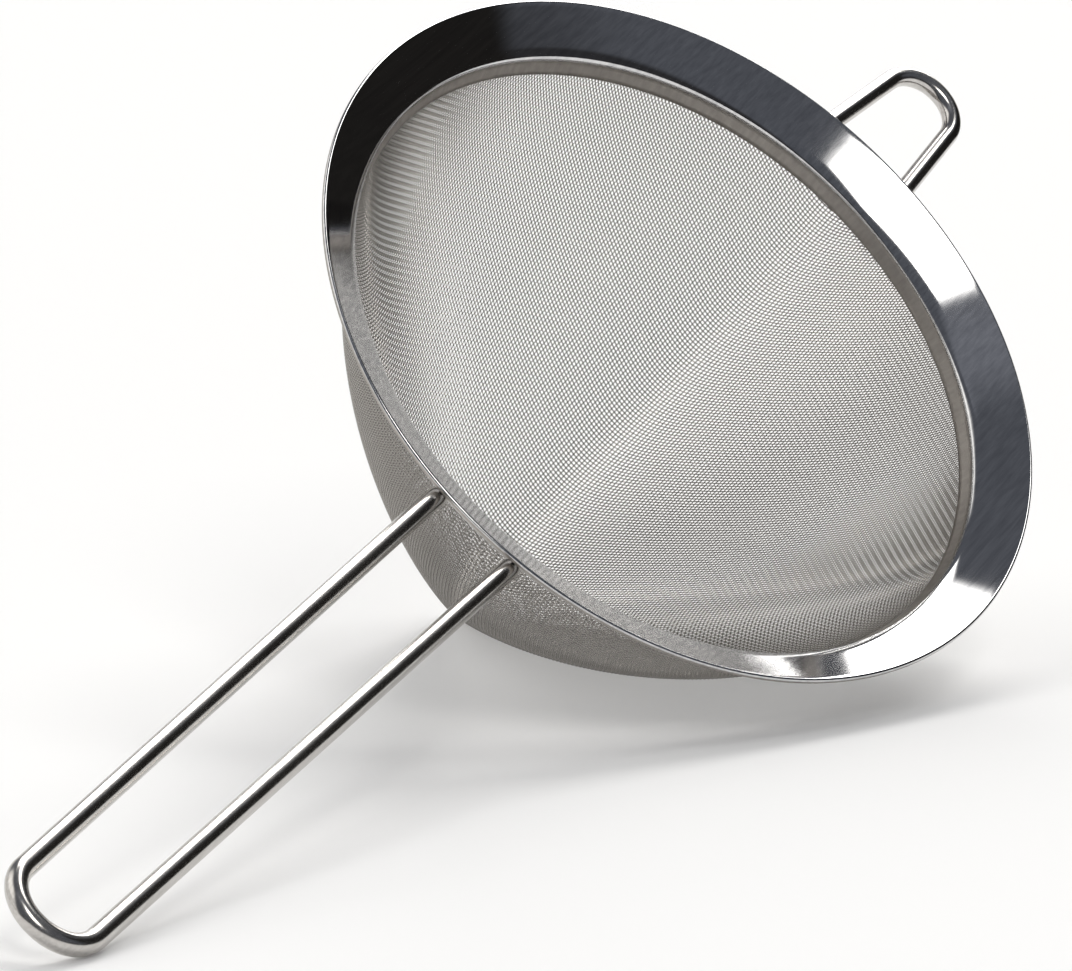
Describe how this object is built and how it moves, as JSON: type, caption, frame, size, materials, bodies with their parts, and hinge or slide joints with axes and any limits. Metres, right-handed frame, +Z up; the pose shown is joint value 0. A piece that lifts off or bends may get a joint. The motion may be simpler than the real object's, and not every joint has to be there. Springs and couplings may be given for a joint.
{
  "type": "wire mesh strainer",
  "caption": "Round kitchen strainer lying on its side: woven wire basket in a flanged steel rim, with a long bent-wire handle and a wire hanging loop.",
  "frame": {"origin": "centre of the bounding box on the floor, with the object lying on its side as pictured", "axes": "+Z up from the floor; +X is the level direction from the handle towards the hanging loop; the mouth of the bowl opens up and towards -Y"},
  "size_m": [0.426, 0.1618, 0.1627],
  "materials": {
    "polished_steel": "mirror-polished stainless sheet with faint brushing lines",
    "satin_steel": "satin stainless strip",
    "wire_cloth": "plain-weave stainless wire cloth, semi-bright",
    "rod_steel": "polished stainless rod",
    "loop_steel": "polished stainless rod"
  },
  "bodies": {
    "root": {"rim_flange": "polished_steel", "clamp_ring": "satin_steel", "mesh_basket": "wire_cloth", "handle_wire": "rod_steel", "hook_wire": "loop_steel"}
  },
  "joints": []
}
